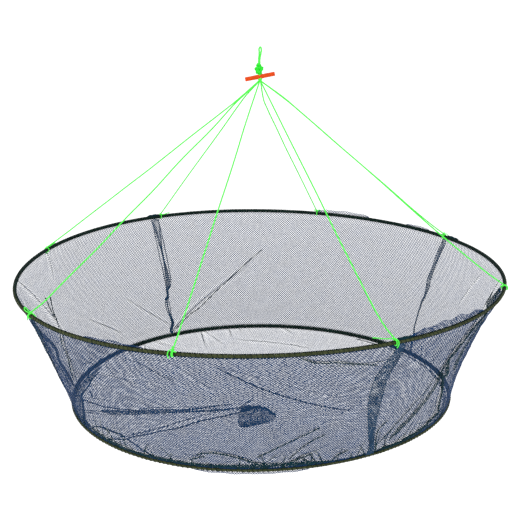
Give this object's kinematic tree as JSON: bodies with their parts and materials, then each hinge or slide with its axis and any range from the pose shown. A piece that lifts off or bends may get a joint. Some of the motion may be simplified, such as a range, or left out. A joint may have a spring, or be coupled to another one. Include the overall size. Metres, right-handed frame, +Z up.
{
  "type": "folding lift net",
  "caption": "Folding drop net for crabs, shrimp and bait fish: sprung hoops joined by a mesh wall, a sagging mesh floor with a pocket, hung from a cord bridle with a toggle.",
  "frame": {"origin": "bearing point inside the top of the hanging loop, where a hook or a hand line carries the net", "axes": "+Z up, the net hangs below; the pictured front faces -Y, and +X is to its right"},
  "size_m": [1.0072, 1.0071, 0.7961],
  "materials": {
    "bridle_cord": "matte",
    "toggle_plastic": "satin",
    "spring_steel": "satin",
    "sleeve_weave": "matte",
    "lashing_twine": "matte",
    "mesh_net": "matte",
    "doubled_mesh": "matte"
  },
  "bodies": {
    "hang_loop": {"hanging_loop": "bridle_cord"},
    "bridle_head": {"apex_knot": "bridle_cord"},
    "toggle_bar": {"toggle": "toggle_plastic"},
    "top_frame": {"top_hoop_wire": "spring_steel", "top_hoop_ferrule": "spring_steel", "top_hoop_sleeve": "sleeve_weave", "top_hoop_lashing": "lashing_twine", "wall_panel_1": "mesh_net", "wall_panel_2": "mesh_net", "wall_panel_3": "mesh_net", "wall_panel_4": "mesh_net", "wall_seam_1": "doubled_mesh", "wall_seam_2": "doubled_mesh", "wall_seam_3": "doubled_mesh", "wall_seam_4": "doubled_mesh", "bridle_leg_1": "bridle_cord", "bridle_leg_2": "bridle_cord", "bridle_leg_3": "bridle_cord", "bridle_leg_4": "bridle_cord", "bridle_leg_5": "bridle_cord", "bridle_leg_6": "bridle_cord", "bridle_leg_7": "bridle_cord", "bridle_leg_8": "bridle_cord", "hoop_tie_1": "bridle_cord", "hoop_tie_2": "bridle_cord", "hoop_tie_3": "bridle_cord", "hoop_tie_4": "bridle_cord", "hoop_tie_5": "bridle_cord", "hoop_tie_6": "bridle_cord", "hoop_tie_7": "bridle_cord", "hoop_tie_8": "bridle_cord"},
    "bottom_frame": {"bottom_hoop_wire": "spring_steel", "bottom_hoop_ferrule": "spring_steel", "bottom_hoop_sleeve": "sleeve_weave", "bottom_hoop_lashing": "lashing_twine", "floor_net": "mesh_net", "bait_pocket": "doubled_mesh", "pocket_hem": "doubled_mesh"}
  },
  "joints": [
    {"name": "bridle_swing", "type": "hinge", "parent": "hang_loop", "child": "bridle_head", "pos_m": [0, 0, -0.03], "axis": [0, 1, 0], "range_deg": [-35, 35]},
    {"name": "toggle_swivel", "type": "hinge", "parent": "bridle_head", "child": "toggle_bar", "pos_m": [0, 0, -0.0582], "axis": [0, 0, 1], "continuous": true},
    {"name": "bridle_drop", "type": "slide", "parent": "bridle_head", "child": "top_frame", "axis": [0, 0, 1], "range_m": [0, 0.385], "deforming": ["bridle_leg_1", "bridle_leg_2", "bridle_leg_3", "bridle_leg_4", "bridle_leg_5", "bridle_leg_6", "bridle_leg_7", "bridle_leg_8"]},
    {"name": "net_collapse", "type": "slide", "parent": "top_frame", "child": "bottom_frame", "axis": [0, 0, 1], "range_m": [0, 0.253], "deforming": ["wall_panel_1", "wall_panel_2", "wall_panel_3", "wall_panel_4", "wall_seam_1", "wall_seam_2", "wall_seam_3", "wall_seam_4"]}
  ]
}
